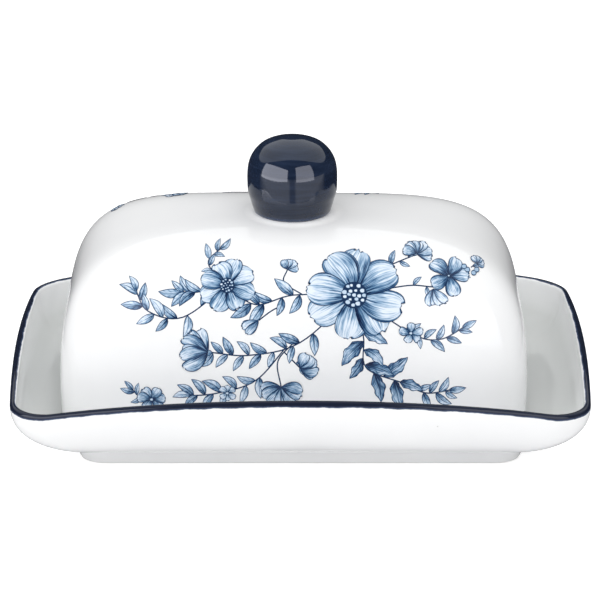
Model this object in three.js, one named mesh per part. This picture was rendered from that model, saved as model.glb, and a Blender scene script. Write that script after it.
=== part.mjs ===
// Covered butter dish in glazed porcelain: a rounded oblong dish on a foot ring, a tall loose cover
// that stands in the dish's well, and a round hollow knob luted to the top of the cover.
// Millimetres, +Z up, +X along the dish. The origin is the centre of the foot ring's underside.
import * as THREE from 'three';

// ---- Driving dimensions ------------------------------------------------------------------------

const AROUND = 56;             // facets round the dish and the cover, a multiple of four
const KNOB_AROUND = 36;        // facets round the knob
const CORNER_CROWDING = 0.13;  // how far the cover's facets are drawn towards its corners, in radians
const CLAY_GAP = 0.3;          // clearance where two pieces touch

// Dish: foot ring
const FOOT = { length: 142.8, width: 91, radius: 9 };    // outside of the foot ring
const FOOT_HEIGHT = 4.4;
const FOOT_RING = 4.4;         // width of the ring of clay the dish stands on
const FOOT_SOFTENING = 0.8;    // rounding of its edges
const RECESS_HEIGHT = 6.0;     // underside of the dish inside the foot ring

// Dish: rim
const RIM = { length: 180, width: 127, radius: 12.3 };   // centre line of the lip
const RIM_BOW = { end: 2.0, side: 1.9 };                 // outward bulge at the middle of each side
const RIM_CORNER_HEIGHT = 21.0;
const RIM_ARCH = { side: 7.6, end: 4.8 };                // rise of the rim between the corners
const ARCH_POWER = 0.8;
const LIP_RADIUS = 1.25;

// Dish: wall and well
const WALL_OUTER = { plan: [0, 0.8, 1, 1], rise: [0, 0.25, 0.65, 1] };
const WALL_INNER = { plan: [0, 0.55, 1, 1], rise: [0, 0, 0.5, 1] };
const WELL = { length: 158.6, width: 106.6, radius: 12 };  // flat floor the cover stands on
const WELL_HEIGHT = 10.3;

// Cover
const COVER = { halfLength: 75.2, halfWidth: 46, height: 59.5 };
const COVER_WALL = 3.4;
const COVER_SIDE = { length: [1, 1.03, 0.84, 0], width: [1, 1.03, 0.79, 0], rise: [0, 0.94, 1, 1] };
const COVER_SQUARENESS = { base: 7, crown: 3 };  // superellipse power of the plan
const COVER_REST_X = -2.1;     // the cover stands a little left of centre in the loose well
const COLLAR = { radius: 15.2, height: 0.4, seatRadius: 12.8 };
const VENT_RADIUS = 2;         // lets the hollow knob breathe in the kiln

// Knob: outside and inside of the hollow wall, as radius and height above the seat
const KNOB_X = COVER_REST_X - 0.5;
const KNOB_OUTSIDE = [
  [12.0, 0], [12.5, 0.5], [13.1, 2.2], [13.8, 4.5], [14.35, 6.4], [14.55, 9.0], [14.55, 12.6],
  [14.2, 15.6], [13.35, 18.0], [12.0, 20.1], [9.9, 22.1], [7.2, 23.4], [3.8, 24.3], [1.2, 24.5],
];
const KNOB_INSIDE = [
  [1.5, 20.6], [4.2, 20.1], [7.6, 18.4], [9.7, 15.4], [10.4, 11.0], [9.6, 5.4], [8.4, 0],
];

// ---- Glazes ------------------------------------------------------------------------------------

const whiteGlaze = new THREE.MeshStandardMaterial({ color: 0xeeefee, roughness: 0.12, metalness: 0 });
const printedGlaze = new THREE.MeshStandardMaterial({ color: 0xdfe5ee, roughness: 0.12, metalness: 0 });
const navyGlaze = new THREE.MeshStandardMaterial({ color: 0x14193a, roughness: 0.1, metalness: 0 });

// ---- Shapes ------------------------------------------------------------------------------------

// Cubic Bezier curve through its four control values.
function bezier(t, [p0, p1, p2, p3]) {
  const s = 1 - t;
  return p0 * s ** 3 + 3 * p1 * s * s * t + 3 * p2 * s * t * t + p3 * t ** 3;
}

// Closed body from rings of equal point count, laid from one end of its skin to the other.
// The first and last rings are either capped by a middle point or joined to each other.
function skin(rings, joined) {
  const around = rings[0].length;
  const positions = rings.flat().flatMap((p) => [p.x, p.y, p.z]);
  const index = [];
  const bands = joined ? rings.length : rings.length - 1;
  for (let band = 0; band < bands; band += 1) {
    const low = band * around;
    const high = ((band + 1) % rings.length) * around;
    for (let i = 0; i < around; i += 1) {
      const next = (i + 1) % around;
      index.push(low + i, low + next, high + next);
      index.push(low + i, high + next, high + i);
    }
  }
  if (!joined) {
    const ends = [rings[0], rings[rings.length - 1]];
    ends.forEach((ring, end) => {
      const middle = ring.reduce((sum, p) => sum.add(p), new THREE.Vector3()).divideScalar(around);
      const centre = positions.length / 3;
      const start = end === 0 ? 0 : (rings.length - 1) * around;
      positions.push(middle.x, middle.y, middle.z);
      for (let i = 0; i < around; i += 1) {
        const next = (i + 1) % around;
        const fan = end === 0 ? [centre, start + next, start + i] : [centre, start + i, start + next];
        index.push(...fan);
      }
    });
  }
  const geometry = new THREE.BufferGeometry();
  geometry.setAttribute('position', new THREE.Float32BufferAttribute(positions, 3));
  geometry.setIndex(index);
  geometry.computeVertexNormals();
  return geometry;
}

// Point i of a rounded rectangle: every quarter has a corner arc with half a side on each end of it.
function roundedRectangle(i, { length, width, radius }, inset = 0) {
  const quarter = AROUND / 4;
  const sidePoints = 5;
  const arcPoints = quarter - 2 * sidePoints;
  const turn = Math.floor(i / quarter);
  const step = i % quarter;
  const r = Math.max(radius - inset, 1);
  const swap = turn % 2 === 1;
  const halfX = (swap ? width : length) / 2 - inset;
  const halfY = (swap ? length : width) / 2 - inset;
  let x;
  let y;
  if (step < sidePoints) {
    x = halfX;
    y = (halfY - r) * (step / sidePoints);
  } else if (step <= sidePoints + arcPoints) {
    const angle = ((step - sidePoints) / arcPoints) * (Math.PI / 2);
    x = halfX - r + r * Math.cos(angle);
    y = halfY - r + r * Math.sin(angle);
  } else {
    x = (halfX - r) * ((quarter - step) / sidePoints);
    y = halfY;
  }
  return new THREE.Vector2(x, y).rotateAround(new THREE.Vector2(0, 0), turn * (Math.PI / 2));
}

const everyFacet = (count, point) => Array.from({ length: count }, (_, i) => point(i));

// Lip centre above facet i: bowed outwards and arched upwards between the corners.
function rimPoint(i) {
  const flat = roundedRectangle(i, RIM);
  const alongX = Math.min(Math.abs(flat.x) / (RIM.length / 2), 1);
  const alongY = Math.min(Math.abs(flat.y) / (RIM.width / 2), 1);
  const x = flat.x + Math.sign(flat.x) * RIM_BOW.end * (1 - alongY ** 2) * alongX ** 2;
  const y = flat.y + Math.sign(flat.y) * RIM_BOW.side * (1 - alongX ** 2) * alongY ** 2;
  const sideArch = RIM_ARCH.side * (1 - alongX ** 2) ** ARCH_POWER;
  const endArch = RIM_ARCH.end * (1 - alongY ** 2) ** ARCH_POWER;
  return new THREE.Vector3(x, y, RIM_CORNER_HEIGHT + sideArch + endArch);
}

function buildDish() {
  const flatRing = (outline, inset, z) => everyFacet(AROUND, (i) => {
    const p = roundedRectangle(i, outline, inset);
    return new THREE.Vector3(p.x, p.y, z);
  });
  // Wall ring at height fraction t, from the given floor outline up to one side of the lip.
  const wallRing = (outline, floorHeight, lipSide, curve, t) => everyFacet(AROUND, (i) => {
    const foot = roundedRectangle(i, outline);
    const rim = rimPoint(i);
    const out = new THREE.Vector2(rim.x - foot.x, rim.y - foot.y);
    const reach = out.length();
    const away = bezier(t, curve.plan) * (reach + lipSide * LIP_RADIUS);
    const z = floorHeight + bezier(t, curve.rise) * (rim.z - floorHeight);
    return new THREE.Vector3(foot.x + (out.x / reach) * away, foot.y + (out.y / reach) * away, z);
  });
  // Rounded top of the lip, from its outside at 0 degrees over to its inside at 180 degrees.
  const lipRing = (angle) => everyFacet(AROUND, (i) => {
    const foot = roundedRectangle(i, FOOT);
    const rim = rimPoint(i);
    const out = new THREE.Vector2(rim.x - foot.x, rim.y - foot.y).normalize();
    const away = LIP_RADIUS * Math.cos(angle);
    const above = LIP_RADIUS * Math.sin(angle);
    return new THREE.Vector3(rim.x + out.x * away, rim.y + out.y * away, rim.z + above);
  });

  const rings = [
    flatRing(FOOT, FOOT_RING + 24, RECESS_HEIGHT),
    flatRing(FOOT, FOOT_RING + FOOT_SOFTENING, RECESS_HEIGHT),
    flatRing(FOOT, FOOT_RING, RECESS_HEIGHT - FOOT_SOFTENING),
    flatRing(FOOT, FOOT_RING, FOOT_SOFTENING),
    flatRing(FOOT, FOOT_RING - FOOT_SOFTENING, 0),
    flatRing(FOOT, FOOT_SOFTENING * 1.6, 0),
    flatRing(FOOT, FOOT_SOFTENING * 0.6, FOOT_SOFTENING),
  ];
  const wallSteps = 8;
  for (let k = 0; k <= wallSteps; k += 1) {
    rings.push(wallRing(FOOT, FOOT_HEIGHT, 1, WALL_OUTER, k / wallSteps));
  }
  for (const degrees of [45, 90, 135]) {
    rings.push(lipRing(THREE.MathUtils.degToRad(degrees)));
  }
  for (let k = wallSteps; k >= 0; k -= 1) {
    rings.push(wallRing(WELL, WELL_HEIGHT, -1, WALL_INNER, k / wallSteps));
  }
  rings.push(flatRing(WELL, 30, WELL_HEIGHT));
  return skin(rings, false);
}

// Point of the cover's skin: t runs up from the base to the crown, the angle is that of the ray from
// the axis. The inset gives the same shape inside the wall.
function coverPoint(t, rayAngle, inset) {
  const halfLength = (COVER.halfLength - inset) * bezier(t, COVER_SIDE.length);
  const halfWidth = (COVER.halfWidth - inset) * bezier(t, COVER_SIDE.width);
  const power = THREE.MathUtils.lerp(COVER_SQUARENESS.base, COVER_SQUARENESS.crown, t * t);
  const cos = Math.cos(rayAngle);
  const sin = Math.sin(rayAngle);
  const across = (Math.abs(cos) / halfLength) ** power + (Math.abs(sin) / halfWidth) ** power;
  const radius = across ** (-1 / power);
  const rise = (COVER.height - inset) * bezier(t, COVER_SIDE.rise);
  return new THREE.Vector3(radius * cos, radius * sin, rise);
}

const coverBase = WELL_HEIGHT + CLAY_GAP;
const coverCrown = coverBase + COVER.height;
const seatHeight = coverCrown + COLLAR.height;

// Height of the cover's outer skin on the ray from its axis at the given angle, at the given radius.
function crownHeight(radius, angle) {
  let low = 0;
  let high = 1;
  for (let pass = 0; pass < 40; pass += 1) {
    const t = (low + high) / 2;
    const p = coverPoint(t, angle, 0);
    if (Math.hypot(p.x, p.y) > radius) {
      low = t;
    } else {
      high = t;
    }
  }
  return coverBase + coverPoint(low, angle, 0).z;
}

function buildCover() {
  // Rays spread round the long plan, closer together at its four corners.
  const facetAngle = (i) => {
    const even = (i / AROUND) * 2 * Math.PI;
    const drawn = even + CORNER_CROWDING * Math.sin(4 * even);
    return Math.atan2(COVER.halfWidth * Math.sin(drawn), COVER.halfLength * Math.cos(drawn));
  };
  const shellRing = (t, inset) => everyFacet(AROUND, (i) => {
    const p = coverPoint(t, facetAngle(i), inset);
    return new THREE.Vector3(p.x + COVER_REST_X, p.y, p.z + coverBase);
  });
  const roundRing = (radius, heightAt) => everyFacet(AROUND, (i) => {
    const angle = facetAngle(i);
    const x = COVER_REST_X + radius * Math.cos(angle);
    return new THREE.Vector3(x, radius * Math.sin(angle), heightAt(angle));
  });

  const crownInside = coverCrown - COVER_WALL;
  const insideSteps = [0.9, 0.8, 0.7, 0.58, 0.46, 0.34, 0.22, 0.1, 0.006];
  const outsideSteps = [0.005, 0.1, 0.18, 0.26, 0.34, 0.42, 0.5, 0.58, 0.66, 0.74, 0.82];
  const rings = [roundRing(VENT_RADIUS, () => crownInside)];
  for (const t of insideSteps) {
    rings.push(shellRing(t, COVER_WALL));
  }
  rings.push(shellRing(0, COVER_WALL - 0.9));
  rings.push(shellRing(0, 0.7));
  for (const t of outsideSteps) {
    rings.push(shellRing(t, 0));
  }
  // Low collar with a hollow fillet round it, then the flat seat and the vent down through it.
  const filletMiddle = THREE.MathUtils.lerp(COLLAR.seatRadius, COLLAR.radius, 0.35);
  rings.push(roundRing(COLLAR.radius, (angle) => crownHeight(COLLAR.radius, angle)));
  rings.push(roundRing(filletMiddle, () => coverCrown + COLLAR.height * 0.3));
  rings.push(roundRing(COLLAR.seatRadius, () => seatHeight));
  rings.push(roundRing(VENT_RADIUS, () => seatHeight));
  return skin(rings, true);
}

function buildKnob() {
  const base = seatHeight + CLAY_GAP;
  const profile = [...KNOB_INSIDE, ...KNOB_OUTSIDE];
  const rings = profile.map(([radius, z]) => everyFacet(KNOB_AROUND, (i) => {
    const angle = (i / KNOB_AROUND) * 2 * Math.PI;
    return new THREE.Vector3(KNOB_X + radius * Math.cos(angle), radius * Math.sin(angle), base + z);
  }));
  return skin(rings, false);
}

// ---- Assembly ----------------------------------------------------------------------------------

const pieces = [
  ['dish', buildDish(), whiteGlaze],
  ['cover', buildCover(), printedGlaze],
  ['knob', buildKnob(), navyGlaze],
];

const butterDish = new THREE.Group();
for (const [name, geometry, glaze] of pieces) {
  const mesh = new THREE.Mesh(geometry, glaze);
  mesh.name = name;
  butterDish.add(mesh);
}

export default butterDish;
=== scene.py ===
import math

import bpy
import numpy as np
from bpy.types import NodeSocket
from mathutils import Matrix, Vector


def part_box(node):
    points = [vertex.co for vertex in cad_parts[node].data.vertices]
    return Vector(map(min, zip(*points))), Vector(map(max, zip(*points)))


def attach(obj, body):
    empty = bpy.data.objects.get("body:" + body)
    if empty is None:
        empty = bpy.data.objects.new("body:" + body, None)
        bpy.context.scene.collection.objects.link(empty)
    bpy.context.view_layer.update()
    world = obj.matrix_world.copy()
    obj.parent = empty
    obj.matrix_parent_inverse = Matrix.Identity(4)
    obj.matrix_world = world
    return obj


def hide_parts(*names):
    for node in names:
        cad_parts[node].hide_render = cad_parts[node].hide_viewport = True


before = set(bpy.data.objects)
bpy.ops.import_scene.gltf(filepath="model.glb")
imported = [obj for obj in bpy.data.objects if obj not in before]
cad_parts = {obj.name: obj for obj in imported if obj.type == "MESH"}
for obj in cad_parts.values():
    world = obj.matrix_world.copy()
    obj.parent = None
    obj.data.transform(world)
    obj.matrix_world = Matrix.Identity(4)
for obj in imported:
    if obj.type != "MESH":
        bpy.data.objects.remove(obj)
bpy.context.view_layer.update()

# ---- The dish ------------------------------------------------------------------------------------
# An oblong porcelain dish, pressed in one piece with its foot ring. The rim dips at the corners and
# arches between them. It is glazed all over but for the underside of the foot ring, which the kiln
# shelf touched, and a navy line is brushed by hand along the lip.

MM = 0.001
dish_low, dish_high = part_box("dish")
LIP_RADIUS = 1.25 * MM
RIM_BOW_END = 2.0 * MM
RIM_BOW_SIDE = 1.9 * MM
RIM_HALF_LENGTH = (dish_high.x - dish_low.x) / 2 - LIP_RADIUS - RIM_BOW_END
RIM_HALF_WIDTH = (dish_high.y - dish_low.y) / 2 - LIP_RADIUS - RIM_BOW_SIDE
RIM_CORNER = 12.3 * MM
RIM_CORNER_HEIGHT = 21.0 * MM
RIM_ARCH_SIDE = 7.6 * MM
RIM_ARCH_END = 4.8 * MM
ARCH_POWER = 0.8
FOOT_HALF_LENGTH = 71.4 * MM
FOOT_HALF_WIDTH = 45.5 * MM
FOOT_CORNER = 9.0 * MM
FOOT_HEIGHT = 4.4 * MM
FOOT_RING = 4.4 * MM
RECESS_HEIGHT = 6.0 * MM
WELL_HALF_LENGTH = 79.3 * MM
WELL_HALF_WIDTH = 53.3 * MM
WELL_CORNER = 12.0 * MM
WELL_HEIGHT = 10.3 * MM
SIDE_POINTS = 12
ARC_POINTS = 12
WALL_RINGS = 22


def bezier(t, p0, p1, p2, p3):
    """A cubic curve of numbers, arrays or amounts."""
    s = 1 - t
    return p0 * s**3 + 3 * p1 * s * s * t + 3 * p2 * s * t * t + p3 * t**3


def rounded_rectangle(half_length, half_width, corner):
    """Points round a rounded rectangle, starting at the middle of its right end."""
    corner = max(corner, 1 * MM)
    points = []
    for turn in range(4):
        half_x, half_y = (half_width, half_length) if turn % 2 else (half_length, half_width)
        quarter = [(half_x, (half_y - corner) * k / SIDE_POINTS) for k in range(SIDE_POINTS)]
        for k in range(ARC_POINTS + 1):
            angle = k / ARC_POINTS * math.pi / 2
            x = half_x - corner + corner * math.cos(angle)
            quarter.append((x, half_y - corner + corner * math.sin(angle)))
        quarter += [((half_x - corner) * (1 - k / SIDE_POINTS), half_y) for k in range(1, SIDE_POINTS)]
        cos, sin = round(math.cos(turn * math.pi / 2)), round(math.sin(turn * math.pi / 2))
        points += [(x * cos - y * sin, x * sin + y * cos) for x, y in quarter]
    return np.array(points)


def flat_ring(half_length, half_width, corner, inset, height):
    outline = rounded_rectangle(half_length - inset, half_width - inset, corner - inset)
    return np.column_stack([outline, np.full(len(outline), height)])


def rim_line():
    """Centre line of the lip: bowed outwards and arched upwards between the corners."""
    flat = rounded_rectangle(RIM_HALF_LENGTH, RIM_HALF_WIDTH, RIM_CORNER)
    along = np.clip(np.abs(flat[:, 0]) / RIM_HALF_LENGTH, 0, 1)
    across = np.clip(np.abs(flat[:, 1]) / RIM_HALF_WIDTH, 0, 1)
    x = flat[:, 0] + np.sign(flat[:, 0]) * RIM_BOW_END * (1 - across**2) * along**2
    y = flat[:, 1] + np.sign(flat[:, 1]) * RIM_BOW_SIDE * (1 - along**2) * across**2
    arch = RIM_ARCH_SIDE * (1 - along**2) ** ARCH_POWER + RIM_ARCH_END * (1 - across**2) ** ARCH_POWER
    return np.column_stack([x, y, RIM_CORNER_HEIGHT + arch])


def wall_ring(floor, lip_side, plan, rise, t):
    """One ring of a wall that climbs from the floor outline to the inside or outside of the lip."""
    rim = rim_line()
    out = rim[:, :2] - floor[:, :2]
    reach = np.linalg.norm(out, axis=1, keepdims=True)
    away = bezier(t, *plan) * (reach + lip_side * LIP_RADIUS)
    height = floor[:, 2] + bezier(t, *rise) * (rim[:, 2] - floor[:, 2])
    return np.column_stack([floor[:, :2] + out / reach * away, height])


def skin(name, rings):
    """A closed mesh over rings of points, with a middle point on its first and last ring."""
    rings = np.array(rings)
    count, around = rings.shape[:2]
    ends = rings[[0, -1]].mean(axis=1)
    vertices = np.vstack([rings.reshape(-1, 3), ends])
    faces = []
    for band in range(count - 1):
        for i in range(around):
            low, high, after = band * around, (band + 1) * around, (i + 1) % around
            faces.append((low + i, low + after, high + after, high + i))
    first, last, top = count * around, count * around + 1, (count - 1) * around
    for i in range(around):
        after = (i + 1) % around
        faces.append((first, after, i))
        faces.append((last, top + i, top + after))
    mesh = bpy.data.meshes.new(name)
    mesh.from_pydata(vertices.tolist(), [], faces)
    mesh.shade_smooth()
    piece = bpy.data.objects.new(name, mesh)
    bpy.context.collection.objects.link(piece)
    return piece


foot = (FOOT_HALF_LENGTH, FOOT_HALF_WIDTH, FOOT_CORNER)
well = (WELL_HALF_LENGTH, WELL_HALF_WIDTH, WELL_CORNER)
dish_rings = [
    flat_ring(*foot, 30 * MM, RECESS_HEIGHT),
    flat_ring(*foot, 12 * MM, RECESS_HEIGHT),
    flat_ring(*foot, FOOT_RING + 1.6 * MM, RECESS_HEIGHT),
    flat_ring(*foot, FOOT_RING + 0.5 * MM, RECESS_HEIGHT - 0.4 * MM),
    flat_ring(*foot, FOOT_RING, RECESS_HEIGHT - 1.5 * MM),
    flat_ring(*foot, FOOT_RING - 0.1 * MM, 0.8 * MM),
    flat_ring(*foot, FOOT_RING - 0.4 * MM, 0.2 * MM),
    flat_ring(*foot, FOOT_RING - 1.0 * MM, 0),
    flat_ring(*foot, 1.5 * MM, 0),
    flat_ring(*foot, 0.9 * MM, 0.2 * MM),
    flat_ring(*foot, 0.55 * MM, 0.8 * MM),
    flat_ring(*foot, 0.35 * MM, FOOT_HEIGHT - 0.9 * MM),
    flat_ring(*foot, 0.1 * MM, FOOT_HEIGHT - 0.25 * MM),
]
foot_top = flat_ring(*foot, 0, FOOT_HEIGHT)
for k in range(1, WALL_RINGS + 1):
    dish_rings.append(wall_ring(foot_top, 1, (0, 0.8, 1, 1), (0, 0.25, 0.65, 1), (k / WALL_RINGS) ** 1.1))
lip_out = rim_line()[:, :2] - foot_top[:, :2]
lip_out /= np.linalg.norm(lip_out, axis=1, keepdims=True)
for degrees in range(15, 180, 15):
    angle = math.radians(degrees)
    rim = rim_line()
    plan = rim[:, :2] + lip_out * LIP_RADIUS * math.cos(angle)
    dish_rings.append(np.column_stack([plan, rim[:, 2] + LIP_RADIUS * math.sin(angle)]))
    if degrees == 90:
        lip_top = len(dish_rings) - 1
well_edge = flat_ring(*well, 0, WELL_HEIGHT)
for k in range(WALL_RINGS, -1, -1):
    dish_rings.append(wall_ring(well_edge, -1, (0, 0.55, 1, 1), (0, 0, 0.5, 1), (k / WALL_RINGS) ** 0.9))
dish_rings.append(flat_ring(*well, 12 * MM, WELL_HEIGHT))
dish_rings.append(flat_ring(*well, 30 * MM, WELL_HEIGHT))
dish = skin("dish_body", dish_rings)

# How far each point lies from the top of the lip, measured over the skin: the brush follows it.
stack = np.array(dish_rings)
steps = np.linalg.norm(np.diff(stack, axis=0), axis=2)
travelled = np.vstack([np.zeros((1, stack.shape[1])), np.cumsum(steps, axis=0)])
from_lip = np.append((travelled[lip_top] - travelled).ravel(), [1, -1])
dish.data.attributes.new("from_lip", "FLOAT", "POINT").data.foreach_set("value", from_lip.astype(np.float32))


def node(tree, kind, inputs=None, **settings):
    """Adds a node with its settings, and feeds its inputs with sockets or plain values."""
    made = tree.nodes.new(kind)
    for key, value in settings.items():
        setattr(made, key, value)
    for key, value in (inputs or {}).items():
        if isinstance(value, Amount):
            value = value.source
        named = [entry for entry in made.inputs if entry.name == key and entry.enabled]
        entry = named[0] if named else made.inputs[key]
        if isinstance(value, NodeSocket):
            tree.links.new(value, entry)
        else:
            entry.default_value = value
    return made


class Amount:
    """A number that varies over a surface, so that a rule reads as ordinary arithmetic."""

    def __init__(self, tree, source):
        self.tree = tree
        self.source = source

    def apply(self, operation, *others):
        inputs = dict(enumerate((self, *others)))
        return Amount(self.tree, node(self.tree, "ShaderNodeMath", inputs, operation=operation).outputs[0])

    def __add__(self, other):
        return self.apply("ADD", other)

    def __radd__(self, other):
        return self.apply("ADD", other)

    def __sub__(self, other):
        return self.apply("SUBTRACT", other)

    def __rsub__(self, other):
        return self.apply("MULTIPLY", -1.0).apply("ADD", other)

    def __mul__(self, other):
        return self.apply("MULTIPLY", other)

    def __rmul__(self, other):
        return self.apply("MULTIPLY", other)

    def __truediv__(self, other):
        return self.apply("DIVIDE", other)

    def __pow__(self, other):
        return self.apply("MAXIMUM", 0.0).apply("POWER", other)

    def __abs__(self):
        return self.apply("ABSOLUTE")

    def sin(self):
        return self.apply("SINE")

    def cos(self):
        return self.apply("COSINE")

    def between(self, low, high):
        """0 below low, 1 above high, and an even slope from one to the other."""
        span = high - low
        made = node(self.tree, "ShaderNodeMath", {0: (self - low) / span}, operation="ADD", use_clamp=True)
        made.inputs[1].default_value = 0.0
        return Amount(self.tree, made.outputs[0])


def mixed(tree, factor, first, second):
    """The first colour where the factor is 0 and the second where it is 1."""
    made = node(tree, "ShaderNodeMix", {0: factor}, data_type="RGBA")
    for slot, colour in ((6, first), (7, second)):
        if isinstance(colour, NodeSocket):
            tree.links.new(colour, made.inputs[slot])
        else:
            made.inputs[slot].default_value = (*colour, 1)
    return made.outputs[2]


def noise(tree, place, scale, detail=2.0, roughness=0.5):
    inputs = {"Vector": place, "Scale": scale, "Detail": detail, "Roughness": roughness}
    return Amount(tree, node(tree, "ShaderNodeTexNoise", inputs).outputs["Fac"])


# How fine the pattern of each mark in the glaze is: cells or waves to the metre.
GLAZE_CLOUDS = 24
GLAZE_RIPPLES = 42
GLAZE_GLOSS_DRIFT = 60
GLAZE_GRAIN = 330
PINHOLE_CELLS = 210.0
PINHOLE_GREY = (0.25, 0.24, 0.23)


def make_glaze_skin():
    """Fired glaze: faint clouds in the body, slow ripples in the surface and a few pinholes."""
    group = bpy.data.node_groups.new("glaze_skin", "ShaderNodeTree")
    group.interface.new_socket("Body", in_out="INPUT", socket_type="NodeSocketColor")
    group.interface.new_socket("Cloud", in_out="INPUT", socket_type="NodeSocketColor")
    group.interface.new_socket("Gloss", in_out="INPUT", socket_type="NodeSocketFloat")
    group.interface.new_socket("Color", in_out="OUTPUT", socket_type="NodeSocketColor")
    group.interface.new_socket("Roughness", in_out="OUTPUT", socket_type="NodeSocketFloat")
    group.interface.new_socket("Height", in_out="OUTPUT", socket_type="NodeSocketFloat")
    given = group.nodes.new("NodeGroupInput").outputs
    place = node(group, "ShaderNodeTexCoord").outputs["Object"]
    clouds = noise(group, place, GLAZE_CLOUDS, 3.0).between(0.42, 0.68)
    colour = mixed(group, clouds, given["Body"], given["Cloud"])
    cells = node(group, "ShaderNodeTexVoronoi", {"Vector": place, "Scale": PINHOLE_CELLS})
    rare = node(group, "ShaderNodeSeparateColor", {0: cells.outputs["Color"]}).outputs[0]
    near = 1 - Amount(group, cells.outputs["Distance"]).between(0.03, 0.07)
    pinhole = near * Amount(group, rare).between(0.965, 0.97)
    colour = mixed(group, pinhole * 0.35, colour, PINHOLE_GREY)
    ripples = noise(group, place, GLAZE_RIPPLES, 1.0) + 0.12 * noise(group, place, GLAZE_GRAIN, 2.0)
    gloss = Amount(group, given["Gloss"]) + 0.05 * noise(group, place, GLAZE_GLOSS_DRIFT, 3.0)
    gathered = group.nodes.new("NodeGroupOutput").inputs
    group.links.new(colour, gathered["Color"])
    group.links.new(gloss.source, gathered["Roughness"])
    group.links.new((ripples - 0.8 * pinhole).source, gathered["Height"])
    return group


glaze_skin = make_glaze_skin()
PORCELAIN = (0.87, 0.875, 0.88)
PORCELAIN_CLOUD = (0.845, 0.85, 0.86)
WELL_PAINTED_SHADE = (0.65, 0.665, 0.655)
BISCUIT = (0.78, 0.75, 0.70)
BISCUIT_ROUGHER = 0.6
WHITE_GLOSS = 0.05
WHITE_RIPPLE = 0.06 * MM
WHITE_IOR = 1.32
NAVY_LINE = (0.010, 0.014, 0.030)
NAVY_THIN = (0.06, 0.09, 0.17)


def glazed(name, body, cloud, gloss, ripple):
    """A material with the glaze skin in it, and its principled shader ready for a finish."""
    material = bpy.data.materials.new(name)
    material.use_nodes = True
    tree = material.node_tree
    shader = tree.nodes["Principled BSDF"]
    surface = node(tree, "ShaderNodeGroup", node_tree=glaze_skin)
    surface.inputs["Body"].default_value = (*body, 1)
    surface.inputs["Cloud"].default_value = (*cloud, 1)
    surface.inputs["Gloss"].default_value = gloss
    bump = node(tree, "ShaderNodeBump", {"Height": surface.outputs["Height"], "Distance": ripple})
    tree.links.new(surface.outputs["Color"], shader.inputs["Base Color"])
    tree.links.new(surface.outputs["Roughness"], shader.inputs["Roughness"])
    tree.links.new(bump.outputs["Normal"], shader.inputs["Normal"])
    shader.inputs["IOR"].default_value = WHITE_IOR
    return material, tree, shader, surface


def painted(tree, attribute):
    return Amount(tree, node(tree, "ShaderNodeAttribute", attribute_name=attribute).outputs["Fac"])


made = glazed("white_glaze", PORCELAIN, PORCELAIN_CLOUD, WHITE_GLOSS, WHITE_RIPPLE)
white_glaze, tree, shader, surface = made
place = node(tree, "ShaderNodeTexCoord").outputs["Object"]
measured = node(tree, "ShaderNodeSeparateXYZ", {0: place}).outputs
right, height = Amount(tree, measured["X"]), Amount(tree, measured["Z"])
lip = painted(tree, "from_lip")
LINE_MIDDLE = 0.75 * MM
LINE_HALF_WIDTH = 1.8 * MM
HAND_WOBBLE = 150
BRUSH_DRAG = 620
wobble = noise(tree, place, HAND_WOBBLE, 2.0) - 0.5
drag = noise(tree, place, BRUSH_DRAG, 2.0) - 0.5
edge = LINE_HALF_WIDTH + (0.9 * MM) * wobble + (0.35 * MM) * drag - abs(lip - LINE_MIDDLE)
line = edge.between(0, 0.16 * MM)
depth = edge.between(0.1 * MM, 0.7 * MM)
ink = mixed(tree, depth, NAVY_THIN, NAVY_LINE)
bare = 1 - (height + (0.3 * MM) * wobble).between(0.18 * MM, 0.30 * MM)

# Painted shade: the two ends of the well, below the lip, are painted greyer where the cover and the walls
# shade them.
well_painted_shade = (0 - lip).between(1 * MM, 12 * MM) * abs(right).between(52 * MM, 74 * MM)
colour = mixed(tree, well_painted_shade, surface.outputs["Color"], WELL_PAINTED_SHADE)
colour = mixed(tree, line, colour, ink)
colour = mixed(tree, bare, colour, BISCUIT)
roughness = Amount(tree, surface.outputs["Roughness"]) + BISCUIT_ROUGHER * bare
tree.links.new(colour, shader.inputs["Base Color"])
tree.links.new(roughness.source, shader.inputs["Roughness"])
dish.data.materials.append(white_glaze)
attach(dish, "dish")
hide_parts("dish")

# ---- The cover -----------------------------------------------------------------------------------
# A tall slip-cast shell that stands loose in the dish's well. Its plan is squarer at the base than
# at the crown, its wall is even, and a low collar carries the knob over a small vent.

cover_low, cover_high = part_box("cover")
COVER_X = (cover_low.x + cover_high.x) / 2
COVER_BASE = cover_low.z
COLLAR_HEIGHT = 0.4 * MM
COLLAR_OUTER = 15.2 * MM
COLLAR_SEAT = 12.8 * MM
COVER_WALL = 3.4 * MM
COVER_BULGE = 1.033
CROWN_LENGTH = 0.84
CROWN_WIDTH = 0.79
SHOULDER_RISE = 0.94
VENT_EDGE = 0.975
CORNER_DRAW = 0.1


def number_inputs(tree, names):
    """Named number inputs on a tree, as amounts."""
    for name in names:
        tree.interface.new_socket(name, in_out="INPUT", socket_type="NodeSocketFloat")
    given = tree.nodes.new("NodeGroupInput").outputs
    return [Amount(tree, given[name]) for name in names]


def set_input(modifier, name, value):
    for item in modifier.node_group.interface.items_tree:
        if item.item_type == "SOCKET" and item.in_out == "INPUT" and item.name == name:
            modifier[item.identifier] = value


def give_out(tree, geometry):
    tree.interface.new_socket("Geometry", in_out="OUTPUT", socket_type="NodeSocketGeometry")
    tree.links.new(geometry, tree.nodes.new("NodeGroupOutput").inputs[0])


def as_mesh(name, source):
    """The evaluated shape of an object as a plain mesh object, with the source put away."""
    graph = bpy.context.evaluated_depsgraph_get()
    mesh = bpy.data.meshes.new_from_object(source.evaluated_get(graph), depsgraph=graph)
    mesh.name = name
    piece = bpy.data.objects.new(name, mesh)
    bpy.context.collection.objects.link(piece)
    bpy.data.objects.remove(source)
    return piece


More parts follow.
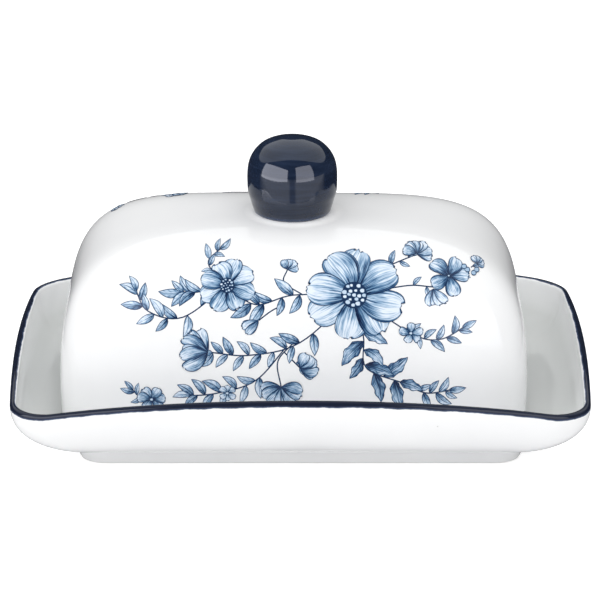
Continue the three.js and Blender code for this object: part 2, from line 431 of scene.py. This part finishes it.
def make_cover_rule(material):
    """The outside of the shell, rolled up from a flat grid: round it one way and up it the other."""
    tree = bpy.data.node_groups.new("cover_shell_rule", "GeometryNodeTree")
    names = ["Half length", "Half width", "Height", "Base squareness", "Crown squareness", "Slump"]
    half_length, half_width, tall, base_power, crown_power, slump = number_inputs(tree, names)
    grid = node(tree, "GeometryNodeMeshGrid", {"Size X": 1, "Size Y": 1, "Vertices X": 257, "Vertices Y": 90})
    position = node(tree, "GeometryNodeInputPosition").outputs[0]
    split = node(tree, "ShaderNodeSeparateXYZ", {0: position})
    around = (Amount(tree, split.outputs[0]) + 0.5) * (2 * math.pi)
    up = Amount(tree, split.outputs[1]) + 0.5
    t = up * VENT_EDGE
    ray = around + CORNER_DRAW * (around * 4).sin()
    cos, sin = ray.cos(), ray.sin()
    power = base_power + (crown_power - base_power) * t * t
    across = (abs(cos) ** power + abs(sin) ** power) ** (-1 * power ** -1)
    x = half_length * bezier(t, 1, COVER_BULGE, CROWN_LENGTH, 0) * cos * across
    y = half_width * bezier(t, 1, COVER_BULGE, CROWN_WIDTH, 0) * sin * across
    rise = tall * bezier(t, 0, SHOULDER_RISE, 1, 1)
    radius = (x * x + y * y) ** 0.5
    ramp = 1 - radius.between(COLLAR_SEAT, COLLAR_OUTER)
    collar = COLLAR_HEIGHT * ramp * ramp * (3 - 2 * ramp)
    z = COVER_BASE + rise * (1 - slump * x / half_length) + collar
    placed = node(tree, "ShaderNodeCombineXYZ", {0: COVER_X + x, 1: y, 2: z}).outputs[0]
    moved = node(tree, "GeometryNodeSetPosition", {"Geometry": grid.outputs[0], "Position": placed})
    merged = node(tree, "GeometryNodeMergeByDistance", {"Geometry": moved.outputs[0], "Distance": 1e-6})
    smooth = node(tree, "GeometryNodeSetShadeSmooth", {"Geometry": merged.outputs[0]})
    whole = node(tree, "GeometryNodeRealizeInstances", {"Geometry": smooth.outputs[0]})
    finished = node(tree, "GeometryNodeSetMaterial", {"Geometry": whole.outputs[0], "Material": material})
    give_out(tree, finished.outputs[0])
    return tree


COVER_RIPPLE = 0.05 * MM
COLLAR_PAINTED_HIGHLIGHT = (0.99, 0.99, 0.99)
COLLAR_HIGHLIGHT_SPREAD = 1.2 * MM
GLAZE_WANDER = 90
made = glazed("printed_glaze", PORCELAIN, PORCELAIN_CLOUD, WHITE_GLOSS, COVER_RIPPLE)
printed_glaze, tree, shader, surface = made
place = node(tree, "ShaderNodeTexCoord").outputs["Object"]
measured = node(tree, "ShaderNodeSeparateXYZ", {0: place}).outputs
along = Amount(tree, measured["X"]) - COVER_X
across, height = Amount(tree, measured["Y"]), Amount(tree, measured["Z"])
wander = noise(tree, place, GLAZE_WANDER, 2.0) - 0.5
bare = 1 - (height + (0.5 * MM) * wander).between(COVER_BASE + 0.30 * MM, COVER_BASE + 0.42 * MM)

# Painted highlight: the collar round the foot of the knob is painted whiter, where it catches the light.
out = (along * along + across * across) ** 0.5
beyond = out.between(COLLAR_SEAT + COLLAR_HIGHLIGHT_SPREAD, COLLAR_OUTER + COLLAR_HIGHLIGHT_SPREAD)
# The mask for the painted highlight on the collar.
gathered = (1 - beyond) * height.between(60 * MM, 64 * MM)
colour = mixed(tree, gathered, surface.outputs["Color"], COLLAR_PAINTED_HIGHLIGHT)
tree.links.new(mixed(tree, bare, colour, BISCUIT), shader.inputs["Base Color"])
roughness = Amount(tree, surface.outputs["Roughness"]) + BISCUIT_ROUGHER * bare
tree.links.new(roughness.source, shader.inputs["Roughness"])

blank = bpy.data.objects.new("cover_blank", bpy.data.meshes.new("cover_blank"))
bpy.context.collection.objects.link(blank)
rule = blank.modifiers.new("rule", "NODES")
rule.node_group = make_cover_rule(printed_glaze)
set_input(rule, "Half length", 75.2 * MM)
set_input(rule, "Half width", 46.0 * MM)
set_input(rule, "Height", cover_high.z - cover_low.z - COLLAR_HEIGHT)
set_input(rule, "Base squareness", 7.0)
set_input(rule, "Crown squareness", 3.0)
set_input(rule, "Slump", 0.006)
wall = blank.modifiers.new("wall", "SOLIDIFY")
wall.thickness = COVER_WALL
wall.offset = -1
softened = blank.modifiers.new("softened", "BEVEL")
softened.width = 0.9 * MM
softened.segments = 3
softened.angle_limit = math.radians(60)
cover = as_mesh("cover_shell", blank)
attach(cover, "cover")
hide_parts("cover")

# ---- The knob ------------------------------------------------------------------------------------
# A hollow round knob, cast on its own, luted to the collar with slip and dipped in navy glaze. The
# glaze thins to a paler blue where it ends above the collar.

knob_low, knob_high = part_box("knob")
KNOB_X = (knob_low.x + knob_high.x) / 2
LUTED = 0.35 * MM
KNOB_AROUND = 96
KNOB_OUTSIDE = [
    (12.0, 0), (12.5, 0.5), (13.1, 2.2), (13.8, 4.5), (14.35, 6.4), (14.55, 9.0), (14.55, 12.6),
    (14.2, 15.6), (13.35, 18.0), (12.0, 20.1), (9.9, 22.1), (7.2, 23.4), (3.8, 24.3), (1.2, 24.5),
]
KNOB_INSIDE = [(1.5, 20.6), (4.2, 20.1), (7.6, 18.4), (9.7, 15.4), (10.4, 11.0), (9.6, 5.4), (8.4, 0)]


def flowing(points, steps):
    """A smooth line through the points, by Catmull-Rom."""
    points = np.array(points, float)
    padded = np.vstack([2 * points[0] - points[1], points, 2 * points[-1] - points[-2]])
    line = []
    for a, b, c, d in zip(padded, padded[1:], padded[2:], padded[3:]):
        for k in range(steps):
            t = k / steps
            bend = (2 * a - 5 * b + 4 * c - d) * t * t + (3 * b - a - 3 * c + d) * t**3
            line.append((2 * b + (c - a) * t + bend) / 2)
    return np.array([*line, points[-1]])


turns = np.arange(KNOB_AROUND) / KNOB_AROUND * 2 * math.pi
knob_profile = np.vstack([flowing(KNOB_INSIDE, 4), flowing(KNOB_OUTSIDE, 5)]) * MM
knob_rings = []
for radius, rise in knob_profile:
    height = knob_low.z + rise - LUTED * max(0, 1 - rise / (4 * MM))
    ring = [KNOB_X + radius * np.cos(turns), radius * np.sin(turns), np.full(KNOB_AROUND, height)]
    knob_rings.append(np.column_stack(ring))
knob = skin("knob_body", knob_rings)

NAVY_GLAZE = (0.006, 0.011, 0.026)
NAVY_CLOUD = (0.010, 0.018, 0.040)
NAVY_GLOSS = 0.03
NAVY_RIPPLE = 0.05 * MM
NAVY_IOR = 1.5
EDGE_WANDER = 200
WIPE_GRAIN = 420
navy_glaze, tree, shader, surface = glazed("navy_glaze", NAVY_GLAZE, NAVY_CLOUD, NAVY_GLOSS, NAVY_RIPPLE)
place = node(tree, "ShaderNodeTexCoord").outputs["Object"]
height = Amount(tree, node(tree, "ShaderNodeSeparateXYZ", {0: place}).outputs["Z"])
wander = noise(tree, place, EDGE_WANDER, 2.0) - 0.5
thin = 1 - (height + (0.8 * MM) * wander).between(knob_low.z, knob_low.z + 1.0 * MM)
wiped = node(tree, "ShaderNodeMapping", {"Vector": place, "Scale": (0.16, 0.16, 1.6)}).outputs[0]
wiped = noise(tree, wiped, WIPE_GRAIN, 4.0, 0.6).between(0.42, 0.72)
thin = 0.5 * thin + 0.16 * wiped
colour = mixed(tree, thin, surface.outputs["Color"], NAVY_THIN)
tree.links.new(colour, shader.inputs["Base Color"])
shader.inputs["IOR"].default_value = NAVY_IOR
knob.data.materials.append(navy_glaze)
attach(knob, "cover")
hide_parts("knob")

# ---- The printed spray ---------------------------------------------------------------------------
# An in-glaze transfer of blossoms and leaves in cobalt blue, laid on the front of the cover and
# again, turned about, on the back. It is drawn flat, in millimetres from the middle of the sheet,
# and then laid on the glaze.

# Sprigs: the line of the stem, then its leaves: how many, how long, how deep in tone, how lobed.
SPRIGS = [
    ([(19, 1), (0, 1), (-12, -2), (-21, 4)], 11, 8, 0.32, 0),
    ([(-21, 4), (-35, -6), (-46, -4), (-50, 3)], 10, 7, 0.32, 0),
    ([(-21, 4), (-30, 2), (-36, 2)], 7, 7, 0.45, 0),
    ([(-21, 4), (-27, 11), (-23, 16)], 6, 5, 0.35, 0),
    ([(19, 1), (28, 9), (39, 14)], 6, 5, 0.32, 0),
    ([(19, 1), (36, 4), (47, 4), (58, 11)], 5, 4, 0.32, 0),
    ([(19, 1), (37, -11), (46, -13), (54, -9)], 9, 6, 0.35, 0),
    ([(19, 1), (22, -12), (23, -22), (35, -27)], 9, 10, 0.58, 0.16),
    ([(35, -27), (42, -30), (50, -29)], 7, 6, 0.35, 0),
    ([(19, 1), (2, -14), (-14, -18), (-27, -17)], 14, 7, 0.34, 0),
    ([(-2, -15), (-12, -26), (-24, -30), (-34, -31)], 11, 7, 0.34, 0),
    ([(0, -14), (-5, -20), (-4, -28)], 0, 0, 0, 0),
    ([(3, 1), (-3, 5), (-2, 9)], 0, 0, 0, 0),
    ([(-3, -2), (-7, -4), (-11, -7)], 0, 0, 0, 0),
    ([(-3, -17), (0, -20), (2, -22)], 2, 4, 0.34, 0),
    ([(-45, -32), (-49, -31), (-51, -29)], 4, 5, 0.35, 0),
]

# Blossoms: middle, reach, petals, the way they face and how wide they fan in degrees, and the eye.
BLOSSOMS = [
    ((19, 1), 15, 8, 10, 360, 3.8),
    ((-21, 4), 9, 8, 0, 360, 2.2),
    ((37, -11), 4, 5, 20, 360, 1.1),
    ((-21, -30), 3, 6, 0, 360, 1.1),
    ((-45, -32), 5, 6, 30, 360, 1.1),
    ((49, 7), 7, 5, 0, 360, 0.8),
    ((-11, -7), 6, 3, -150, 60, 0),
    ((-2, 9), 4, 4, 60, 130, 0),
    ((39, 14), 5, 7, 75, 200, 0),
    ((44, 3), 6, 4, -80, 80, 0),
    ((58, 11), 3, 5, 50, 170, 0),
    ((2, -22), 6, 5, 20, 130, 0),
    ((-27, -17), 9, 6, 160, 120, 0),
    ((-4, -28), 7, 8, -90, 190, 0),
]
BERRIES = [(54, 10), (55, 9), (57, 8), (58, 9)]
LEAF_WIDTH = 0.41
PETAL_WIDEST = 0.7
BLOSSOM_TILT = 0.92
STEM_STEPS = 8
LARGE_EYE = 2.0

# Beads in a large eye, as shares of its size: how far out each ring lies, its beads and their size.
EYE_BEADS = ((0.8, 11, 0.23), (0.42, 6, 0.2), (0, 1, 0.2))

# How a mark swells from its root and closes at its tip, which is drawn slightly blunt.
LEAF_SHAPE = (0.75, 1.0)
PETAL_SHAPE = (0.85, 0.42)
ROUND_SHAPE = (0.5, 0.5)
BLUNT = 0.993
PAINTED_AS_LEAF, PAINTED_AS_PETAL, PAINTED_AS_EYE = 0.0, 1.0, 2.0

rng = np.random.default_rng(14)
marks = []


def mark(root, tip, width, shape, kind, tone, layer, lobes=0.0):
    root, tip = np.array(root, float), np.array(tip, float)
    bend = rng.uniform(-0.14, 0.14) if kind < PAINTED_AS_EYE else 0
    marks.append((*root, *(tip - root), width, *shape, kind, tone, layer, bend, lobes, rng.uniform(0, 50)))


def dot(middle, radius, tone, layer):
    x, up = middle
    mark((x - radius, up), (x + radius, up), 2 * radius, ROUND_SHAPE, PAINTED_AS_EYE, tone, layer)


for line, leaves, length, tone, lobes in SPRIGS:
    stem = flowing(line, STEM_STEPS)
    for k in range(leaves):
        root = min(round((0.2 + 0.8 * (k + 1) / leaves) * (len(stem) - 1)), len(stem) - 2)
        onward = stem[root + 1] - stem[root]
        side = 0 if k == leaves - 1 else (-1) ** k
        turn = math.atan2(onward[1], onward[0]) + side * math.radians(rng.uniform(36, 60))
        reach = length * rng.uniform(0.75, 1.1)
        tip = stem[root] + reach * np.array([math.cos(turn), math.sin(turn)])
        shade = tone + rng.uniform(-0.1, 0.12)
        layer = 0.5 + 0.5 * len(marks) % 1.5
        mark(stem[root], tip, reach * LEAF_WIDTH, LEAF_SHAPE, PAINTED_AS_LEAF, shade, layer, lobes)
for (x, up), reach, petals, facing, fan, eye in BLOSSOMS:
    width = reach * min(PETAL_WIDEST, 2.8 * math.sin(math.radians(fan / petals / 2)))
    for place in range(petals):
        turn = math.radians(facing + fan * ((place + 0.5) / petals - 0.5) + rng.uniform(-6, 6))
        length = reach * rng.uniform(0.88, 1.06)
        tip = (x + length * math.cos(turn), up + BLOSSOM_TILT * length * math.sin(turn))
        shade = 0.36 + rng.uniform(-0.12, 0.14)
        mark((x, up), tip, width, PETAL_SHAPE, PAINTED_AS_PETAL, shade, 2.5 + place)
    if eye > LARGE_EYE:
        dot((x, up), eye * 1.1, 0.93, 12)
        for ring, beads, size in EYE_BEADS:
            for k in range(beads):
                turn = (k + rng.uniform(-0.2, 0.2)) / beads * 2 * math.pi
                out = eye * (ring + rng.uniform(-0.06, 0.06))
                middle = (x + out * math.cos(turn), up + out * math.sin(turn))
                dot(middle, eye * size * rng.uniform(0.75, 1.1), rng.uniform(0.0, 0.22), 13 + k % 3)
    elif eye:
        dot((x, up), eye * 0.55, 0.12, 12)
for middle in BERRIES:
    dot(middle, 0.9, 0.3, 7)

FIELDS = (
    "root_x", "root_up", "reach_x", "reach_up", "width", "swell", "close",
    "kind", "tone", "layer", "bend", "lobes", "grain",
)
SHEET_SLOPE = math.radians(20)
SHEET_MIDDLE = 40 * MM
SHEET_AWAY = 200 * MM


def read(tree, name):
    named = node(tree, "GeometryNodeInputNamedAttribute", {"Name": name}, data_type="FLOAT")
    return Amount(tree, named.outputs[0])


def keep(tree, geometry, name, value):
    inputs = {"Geometry": geometry, "Name": name, "Value": value}
    settings = {"data_type": "FLOAT", "domain": "POINT"}
    return node(tree, "GeometryNodeStoreNamedAttribute", inputs, **settings).outputs[0]


def lay_on_cover(tree, geometry, x, up, lift, facing, raised):
    """Casts drawn points, in millimetres, on to the front (1) or the back (-1) of the cover."""
    up = up + raised
    cos, sin = math.cos(SHEET_SLOPE), math.sin(SHEET_SLOPE)
    origin = {
        0: COVER_X + MM * x * facing,
        1: (MM * up * sin - SHEET_AWAY * cos) * facing,
        2: SHEET_MIDDLE + MM * up * cos + SHEET_AWAY * sin,
    }
    target = node(tree, "GeometryNodeObjectInfo", {"Object": cover}, transform_space="RELATIVE")
    ray = node(tree, "GeometryNodeRaycast", {
        "Target Geometry": target.outputs["Geometry"],
        "Source Position": node(tree, "ShaderNodeCombineXYZ", origin).outputs[0],
        "Ray Direction": node(tree, "ShaderNodeCombineXYZ", {1: cos * facing, 2: -sin}).outputs[0],
        "Ray Length": 1.0,
    })
    inputs = {0: ray.outputs["Hit Normal"], "Scale": MM * lift}
    standing = node(tree, "ShaderNodeVectorMath", inputs, operation="SCALE").outputs[0]
    inputs = {0: ray.outputs["Hit Position"], 1: standing}
    spot = node(tree, "ShaderNodeVectorMath", inputs, operation="ADD").outputs[0]
    return node(tree, "GeometryNodeSetPosition", {"Geometry": geometry, "Position": spot}).outputs[0]


def finish_tree(tree, geometry, material):
    whole = node(tree, "GeometryNodeRealizeInstances", {"Geometry": geometry})
    smooth = node(tree, "GeometryNodeSetShadeSmooth", {"Geometry": whole.outputs[0]})
    finished = node(tree, "GeometryNodeSetMaterial", {"Geometry": smooth.outputs[0], "Material": material})
    give_out(tree, finished.outputs[0])


def make_marks_rule(material):
    """Lays one small sheet for each mark, swelled and closed to its outline, on the cover."""
    tree = bpy.data.node_groups.new("painted_marks_rule", "GeometryNodeTree")
    tree.interface.new_socket("Marks", in_out="INPUT", socket_type="NodeSocketGeometry")
    lift, layer_step, facing, raised = number_inputs(tree, ["Lift", "Layer step", "Facing", "Raised"])
    given = tree.nodes["Group Input"].outputs["Marks"]
    sizes = {"Size X": 1, "Size Y": 1, "Vertices X": 13, "Vertices Y": 6}
    blank = node(tree, "GeometryNodeMeshGrid", sizes).outputs[0]
    split = node(tree, "ShaderNodeSeparateXYZ", {0: node(tree, "GeometryNodeInputPosition").outputs[0]})
    grown = 0.5 + Amount(tree, split.outputs[0])
    blank = keep(tree, blank, "along", BLUNT * (1 - (1 - grown) ** 1.5))
    blank = keep(tree, blank, "across", 2 * Amount(tree, split.outputs[1]))
    placed = node(tree, "GeometryNodeInstanceOnPoints", {"Points": given, "Instance": blank}).outputs[0]
    sheets = node(tree, "GeometryNodeRealizeInstances", {"Geometry": placed}).outputs[0]
    along, across, width = read(tree, "along"), read(tree, "across"), read(tree, "width")
    swell, close = read(tree, "swell"), read(tree, "close")
    kind, grain, lobes = read(tree, "kind"), read(tree, "grain"), read(tree, "lobes")
    reach_x, reach_up = read(tree, "reach_x"), read(tree, "reach_up")
    length = (reach_x * reach_x + reach_up * reach_up) ** 0.5
    fullest = swell / (swell + close)
    peak = fullest**swell * (1 - fullest) ** close
    half = 0.5 * width * along**swell * (1 - along) ** close / peak
    half = half * (1 + lobes * (along * 17 + grain + across * 1.5).sin())
    petal = kind.between(0.4, 0.6) * (1 - kind.between(1.4, 1.6))
    frill = (across * 7 + grain * 3).sin() * 0.03 + (across * 2.6 + grain).sin() * 0.025
    run = along * (1 + petal * frill * along * along)
    side = across * half / length + read(tree, "bend") * 4 * along * (1 - along)
    x = read(tree, "root_x") + reach_x * run - reach_up * side
    up = read(tree, "root_up") + reach_up * run + reach_x * side
    sheets = keep(tree, sheets, "half", half)
    sheets = keep(tree, sheets, "to_tip", length * (BLUNT - along))
    height = lift + layer_step * read(tree, "layer")
    finish_tree(tree, lay_on_cover(tree, sheets, x, up, height, facing, raised), material)
    return tree


def make_stems_rule(material):
    """Draws each stem as a thin ribbon through its points and lays it on the cover."""
    tree = bpy.data.node_groups.new("painted_stems_rule", "GeometryNodeTree")
    tree.interface.new_socket("Stems", in_out="INPUT", socket_type="NodeSocketGeometry")
    lift, width, facing, raised = number_inputs(tree, ["Lift", "Width", "Facing", "Raised"])
    given = tree.nodes["Group Input"].outputs["Stems"]
    curve = node(tree, "GeometryNodeMeshToCurve", {"Mesh": given}).outputs[0]
    level = node(tree, "GeometryNodeSetCurveNormal", {"Curve": curve}, mode="Z_UP").outputs[0]
    ends = {"Start": (-0.5, 0, 0), "End": (0.5, 0, 0)}
    section = node(tree, "GeometryNodeCurvePrimitiveLine", ends).outputs[0]
    wide = node(tree, "ShaderNodeCombineXYZ", {0: width, 1: 1.0, 2: 1.0}).outputs[0]
    section = node(tree, "GeometryNodeTransform", {"Geometry": section, "Scale": wide}).outputs[0]
    ribbon = node(tree, "GeometryNodeCurveToMesh", {"Curve": level, "Profile Curve": section}).outputs[0]
    split = node(tree, "ShaderNodeSeparateXYZ", {0: node(tree, "GeometryNodeInputPosition").outputs[0]})
    x, up = Amount(tree, split.outputs[0]), Amount(tree, split.outputs[1])
    finish_tree(tree, lay_on_cover(tree, ribbon, x, up, lift, facing, raised), material)
    return tree


# Cobalt from its thinnest wash to a full brush, and how deep each wash is.
COBALT = [
    (0.0, (0.72, 0.79, 0.88)),
    (0.28, (0.37, 0.51, 0.67)),
    (0.52, (0.11, 0.225, 0.38)),
    (0.76, (0.026, 0.07, 0.16)),
    (1.0, (0.008, 0.016, 0.05)),
]


def make_print_blue():
    """Cobalt colour washed over the glaze: dark at the roots, outlines and veins, pale at the tips."""
    made = glazed("print_blue", PORCELAIN, PORCELAIN_CLOUD, WHITE_GLOSS, COVER_RIPPLE)
    material, tree, shader, _ = made
    along, across, half = painted(tree, "along"), painted(tree, "across"), painted(tree, "half")
    grain, kind, tone = painted(tree, "grain"), painted(tree, "kind"), painted(tree, "tone")
    petal = kind.between(0.4, 0.6)
    eye = kind.between(1.4, 1.6)
    heart = (1 - along) ** 1.7
    strands = node(tree, "ShaderNodeCombineXYZ", {0: across * 5, 1: along * 1.2, 2: grain}).outputs[0]
    streak = noise(tree, strands, 1.7, 3.0, 0.6) - 0.5
    threads = node(tree, "ShaderNodeCombineXYZ", {0: across * 15, 1: along * 1.4, 2: grain}).outputs[0]
    streak = streak * 1.7 + 1.1 * (noise(tree, threads, 1.3, 1.0) - 0.5)
    off_rib = abs(across) * half
    rib = (1 - off_rib.between(0.05, 0.16)) * (1 - along.between(0.75, 0.95))
    combs = (along * 26 - abs(across) * 6 + grain).sin().between(0.2, 1.0) * abs(across)
    side = (across + 0.4 * (grain.sin())).between(-0.5, 0.5) - 0.5
    pools = node(tree, "ShaderNodeCombineXYZ", {0: across * 1.1, 1: along * 2.2, 2: grain}).outputs[0]
    pool = noise(tree, pools, 1.5, 1.0) - 0.5
    leaf_depth = tone - 0.42 + 0.85 * heart + 0.45 * along**4 + 0.25 * side + 0.9 * streak
    leaf_depth = leaf_depth + 0.5 * rib + 0.32 * combs + 0.6 * pool
    petal_depth = tone - 0.34 + 0.95 * heart + 0.95 * streak + 0.5 * abs(across) ** 3 + 0.7 * pool
    wash = leaf_depth + petal * (petal_depth - leaf_depth)
    wash = wash + eye * (tone - wash)
    from_edge = ((1 - abs(across)) * half).apply("MINIMUM", painted(tree, "to_tip"))
    pen = (0.06 + 0.065 * painted(tree, "width")).apply("MINIMUM", 0.25) + 0.11 * eye
    outline = 1 - (from_edge / pen).between(0.6, 1.35)
    wash = wash + outline * (0.9 - wash)
    ramp = node(tree, "ShaderNodeValToRGB", {0: wash})
    stops = ramp.color_ramp.elements
    thinnest, *between, thickest = COBALT
    stops[0].color = (*thinnest[1], 1)
    stops[1].color = (*thickest[1], 1)
    for position, colour in between:
        stops.new(position).color = (*colour, 1)
    tree.links.new(ramp.outputs[0], shader.inputs["Base Color"])
    return material


def drawing(name, vertices, edges):
    mesh = bpy.data.meshes.new(name)
    mesh.from_pydata(vertices, edges, [])
    source = bpy.data.objects.new(name, mesh)
    bpy.context.collection.objects.link(source)
    return source


def draw_marks():
    """One loose point for each mark, which carries everything that is known about it."""
    source = drawing("marks_drawing", [(0, 0, 0)] * len(marks), [])
    for column, name in zip(np.array(marks).T, FIELDS):
        attribute = source.data.attributes.new(name, "FLOAT", "POINT")
        attribute.data.foreach_set("value", column.astype(np.float32))
    return source


def draw_stems():
    points, edges = [], []
    for stem, *_ in SPRIGS:
        line = flowing(stem, STEM_STEPS)
        edges += [(len(points) + k, len(points) + k + 1) for k in range(len(line) - 1)]
        points += [(x, up, 0) for x, up in line]
    return drawing("stems_drawing", points, edges)


def transfer(name, source, rule_tree, **values):
    rule = source.modifiers.new("rule", "NODES")
    rule.node_group = rule_tree
    for key, value in values.items():
        set_input(rule, key.replace("_", " "), value)
    piece = as_mesh(name, source)
    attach(piece, "cover")


print_blue = make_print_blue()
marks_rule = make_marks_rule(print_blue)
stems_rule = make_stems_rule(print_blue)
BACK_RAISED = 1.1
for side, facing, raised in (("front", 1.0, 0.0), ("back", -1.0, BACK_RAISED)):
    placed = {"Facing": facing, "Raised": raised}
    transfer(f"stems_{side}", draw_stems(), stems_rule, Lift=0.025, Width=0.42, **placed)
    transfer(f"spray_{side}", draw_marks(), marks_rule, Lift=0.03, Layer_step=0.022, **placed)

# ---- The table, the lights and the camera --------------------------------------------------------
# A white lit table in a white tent. Two softboxes in front, one at each side, and one overhead show
# only in reflections, and two fills light the object without being mirrored. None of it is in the
# object.

TABLE_HALF = 3.0
TABLE_WHITE = (0.8, 0.8, 0.8)
TABLE_GLOW = 0.19
TABLE_GLOW_SEEN = 0.35
MIRRORED_FRONT = (0.95, 0.96, 1.0)
MIRRORED_GAP = (0.3, 0.31, 0.36)
MIRRORED_BACK = (0.03, 0.03, 0.04)
table_mesh = bpy.data.meshes.new("table")
corners = [(x * TABLE_HALF, y * TABLE_HALF, 0) for x, y in ((-1, -1), (1, -1), (1, 1), (-1, 1))]
table_mesh.from_pydata(corners, [], [(0, 1, 2, 3)])
table = bpy.data.objects.new("table", table_mesh)
bpy.context.collection.objects.link(table)
table_white = bpy.data.materials.new("table_white")
table_white.use_nodes = True
tree = table_white.node_tree
shader = tree.nodes["Principled BSDF"]
rays = node(tree, "ShaderNodeLightPath").outputs
seen, mirrored = Amount(tree, rays["Is Camera Ray"]), Amount(tree, rays["Is Glossy Ray"])
place = node(tree, "ShaderNodeSeparateXYZ", {0: node(tree, "ShaderNodeTexCoord").outputs["Object"]}).outputs
right, back = Amount(tree, place["X"]), Amount(tree, place["Y"])

# Mirrored in the glaze, the table is bright in front, darker between the softboxes, dark behind.
between_boxes = 1 - (abs(right) / (0.02 - back)).between(0.08, 0.16)
lit = mixed(tree, between_boxes, MIRRORED_FRONT, MIRRORED_GAP)
in_mirror = mixed(tree, back.between(-0.12, 0.0), lit, MIRRORED_BACK)
tree.links.new(mixed(tree, mirrored, TABLE_WHITE, in_mirror), shader.inputs["Base Color"])
glow = TABLE_GLOW + TABLE_GLOW_SEEN * seen - TABLE_GLOW * mirrored
tree.links.new(glow.source, shader.inputs["Emission Strength"])
shader.inputs["Roughness"].default_value = 0.6
shader.inputs["Specular IOR Level"].default_value = 0.0
shader.inputs["Emission Color"].default_value = (1, 1, 1, 1)
table_mesh.materials.append(table_white)

COOL_LEFT = (0.87, 0.89, 1.0)
COOL_RIGHT = (0.89, 0.90, 1.0)
COOL_TOP = (0.97, 0.99, 1.0)
NEUTRAL = (1.0, 1.0, 1.0)


def softbox(name, azimuth, distance, height, width, tall, radiance, colour, lean=0.0, shape="RECTANGLE"):
    """A softbox that faces the object. Azimuth 0 is the camera's side, and positive is to its right."""
    lamp = bpy.data.lights.new(name, "AREA")
    lamp.shape = shape
    lamp.size = width
    lamp.size_y = tall
    lamp.energy = radiance * width * tall * math.pi
    lamp.color = colour
    holder = bpy.data.objects.new(name, lamp)
    bpy.context.collection.objects.link(holder)
    turn = math.radians(azimuth)
    holder.location = (distance * math.sin(turn), -distance * math.cos(turn), height)
    holder.rotation_euler = (math.pi / 2 - math.radians(lean), 0, turn)
    holder.visible_camera = False
    return holder


mirror_left = softbox("softbox_left", -48, 0.55, 0.235, 0.80, 0.45, 5.2, COOL_LEFT)
mirror_right = softbox("softbox_right", 33, 0.55, 0.27, 0.48, 0.52, 3.7, COOL_RIGHT)
mirror_top = softbox("softbox_overhead", 180, 0.46, 0.70, 3.0, 1.5, 0.8, COOL_TOP, 90, "ELLIPSE")
for mirror in (mirror_left, mirror_right, mirror_top):
    mirror.visible_diffuse = False
fill_high = softbox("fill_high", 0, 0.95, 1.1, 1.2, 0.8, 1.4, NEUTRAL, 48)
fill_left = softbox("fill_left", -70, 1.2, 0.7, 0.8, 0.8, 2.2, NEUTRAL, 30)
for fill in (fill_high, fill_left):
    fill.visible_glossy = False

TENT_LEFT, TENT_RIGHT, TENT_FRONT, TENT_BACK, TENT_TOP = 0.3, 0.6, 1.13, 1.2, 1.03
DARK_IN_MIRROR = (0.03, 0.035, 0.045)
world = bpy.data.worlds.new("studio")
world.use_nodes = True
bpy.context.scene.world = world
tree = world.node_tree
background = tree.nodes["Background"]
rays = node(tree, "ShaderNodeLightPath").outputs
seen, mirrored = Amount(tree, rays["Is Camera Ray"]), Amount(tree, rays["Is Glossy Ray"])
toward = node(tree, "ShaderNodeTexCoord").outputs["Generated"]
aim = node(tree, "ShaderNodeSeparateXYZ", {0: toward}).outputs
right, back, up = Amount(tree, aim["X"]), Amount(tree, aim["Y"]), Amount(tree, aim["Z"])
tent = TENT_LEFT * (0 - right) ** 2 + TENT_RIGHT * right**2 + TENT_FRONT * (0 - back) ** 2
tent = tent + TENT_BACK * back**2 + TENT_TOP * up**2
strength = tent + (seen + mirrored) * (1 - tent)
tree.links.new(strength.source, background.inputs["Strength"])
tree.links.new(mixed(tree, mirrored, NEUTRAL, DARK_IN_MIRROR), background.inputs["Color"])

CAMERA_DISTANCE = 1.1548
CAMERA_ELEVATION = math.radians(20)
TARGET_HEIGHT = 40 * MM
camera_data = bpy.data.cameras.new("camera")
camera_data.lens = 211.5
camera_data.sensor_width = 36
camera_data.shift_x = -0.0005
camera_data.shift_y = -0.0029
camera = bpy.data.objects.new("camera", camera_data)
bpy.context.collection.objects.link(camera)
camera.location = (
    0,
    -CAMERA_DISTANCE * math.cos(CAMERA_ELEVATION),
    TARGET_HEIGHT + CAMERA_DISTANCE * math.sin(CAMERA_ELEVATION),
)
camera.rotation_euler = (math.pi / 2 - CAMERA_ELEVATION, 0, 0)
bpy.context.scene.camera = camera
bpy.context.scene.view_settings.view_transform = "Standard"
